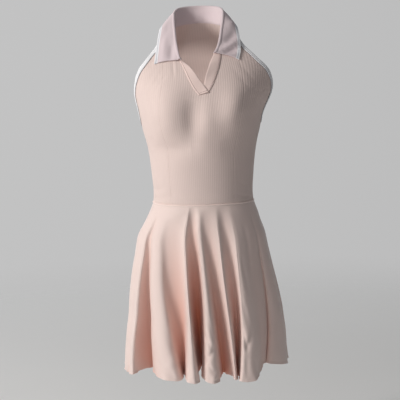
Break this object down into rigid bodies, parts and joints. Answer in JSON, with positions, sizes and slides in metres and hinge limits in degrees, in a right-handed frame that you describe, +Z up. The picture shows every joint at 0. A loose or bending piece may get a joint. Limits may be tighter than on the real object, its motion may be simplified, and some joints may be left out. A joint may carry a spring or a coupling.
{
  "type": "tennis dress",
  "caption": "Sleeveless tennis dress with a fitted rib-knit bodice, an open polo collar and V placket, cut-in armholes with a binding, and a flared skirt that falls in deep flutes.",
  "frame": {"origin": "middle of the neck, level with the two points where the shoulder seams meet the neck, which is where the wearer's neck and shoulders hold the dress", "axes": "+Z up through the neck, the front of the dress faces -Y, +X is the viewer's right (the wearer's left)"},
  "size_m": [0.4042, 0.3021, 0.871],
  "materials": {
    "rib_knit": "pale pink rib knit, matt",
    "band_cloth": "pale pink cloth, matt",
    "collar_knit": "pale lilac-pink flat knit, matt, with two white stripes knitted into its outer edge",
    "binding_white": "white knit tape, matt",
    "skirt_jersey": "pale pink smooth jersey, soft sheen"
  },
  "bodies": {
    "root": {"front_centre": "rib_knit", "front_side_left": "rib_knit", "front_side_right": "rib_knit", "back": "rib_knit", "placket_left": "band_cloth", "placket_right": "band_cloth", "collar": "collar_knit", "binding_left": "binding_white", "binding_right": "binding_white", "skirt_front": "skirt_jersey", "skirt_back": "skirt_jersey"}
  },
  "joints": []
}
